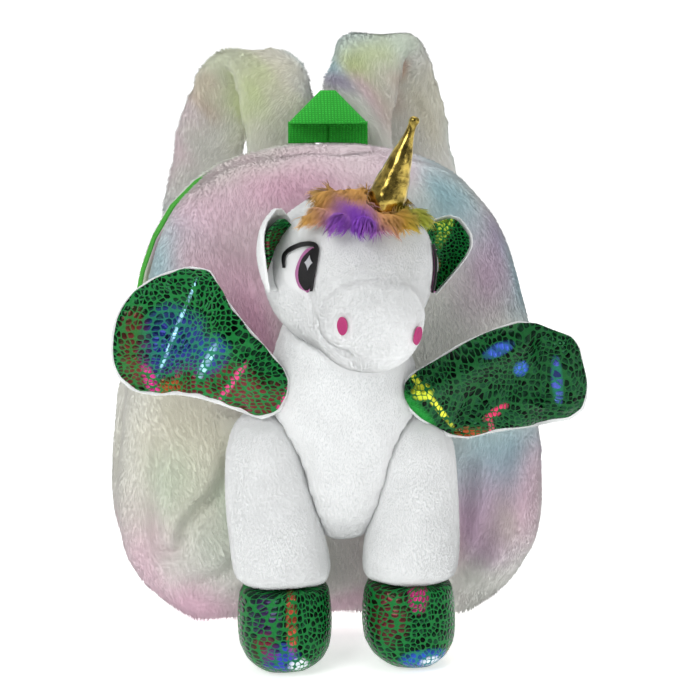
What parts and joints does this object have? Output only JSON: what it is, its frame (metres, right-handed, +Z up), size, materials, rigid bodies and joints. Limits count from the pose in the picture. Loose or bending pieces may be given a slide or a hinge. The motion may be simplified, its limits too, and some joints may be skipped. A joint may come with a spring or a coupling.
{
  "type": "kids animal backpack",
  "caption": "Small child's plush backpack with a stuffed winged unicorn sewn to its front, padded shoulder straps and a webbing grab handle.",
  "frame": {"origin": "centre of the bag's flat base, on the floor", "axes": "+Z up, -Y towards the front with the unicorn, +X to the viewer's right"},
  "size_m": [0.2703, 0.2751, 0.3533],
  "materials": {
    "tie_dye_plush": "long soft pile, dyed in pale pinks, blues, mint and mauve",
    "white_plush": "short soft pile",
    "scale_cloth": "shiny foil-printed cloth with black reptile-scale cells",
    "webbing": "ribbed woven webbing",
    "zip": "woven tape with a moulded coil",
    "slider": "plain bright metal",
    "gold_cloth": "gold foil cloth",
    "mane_plush": "long soft pile in purple, orange and yellow-green",
    "eye_thread": "satin stitch embroidery",
    "pink_thread": "satin stitch embroidery"
  },
  "bodies": {
    "root": {"bag_front": "tie_dye_plush", "bag_back": "tie_dye_plush", "zip": "zip", "zip_slider": "slider", "grab_handle": "webbing", "strap_left": "tie_dye_plush", "strap_right": "tie_dye_plush", "strap_tail_left": "webbing", "strap_tail_right": "webbing", "body": "white_plush", "head": "white_plush", "leg_left": "white_plush", "hoof_left": "scale_cloth", "wing_front_left": "scale_cloth", "wing_back_left": "white_plush", "ear_lining_left": "scale_cloth", "ear_back_left": "white_plush", "eye_left": "eye_thread", "nostril_left": "pink_thread", "leg_right": "white_plush", "hoof_right": "scale_cloth", "wing_front_right": "scale_cloth", "wing_back_right": "white_plush", "ear_lining_right": "scale_cloth", "ear_back_right": "white_plush", "eye_right": "eye_thread", "nostril_right": "pink_thread", "mane": "mane_plush", "horn": "gold_cloth"}
  },
  "joints": []
}
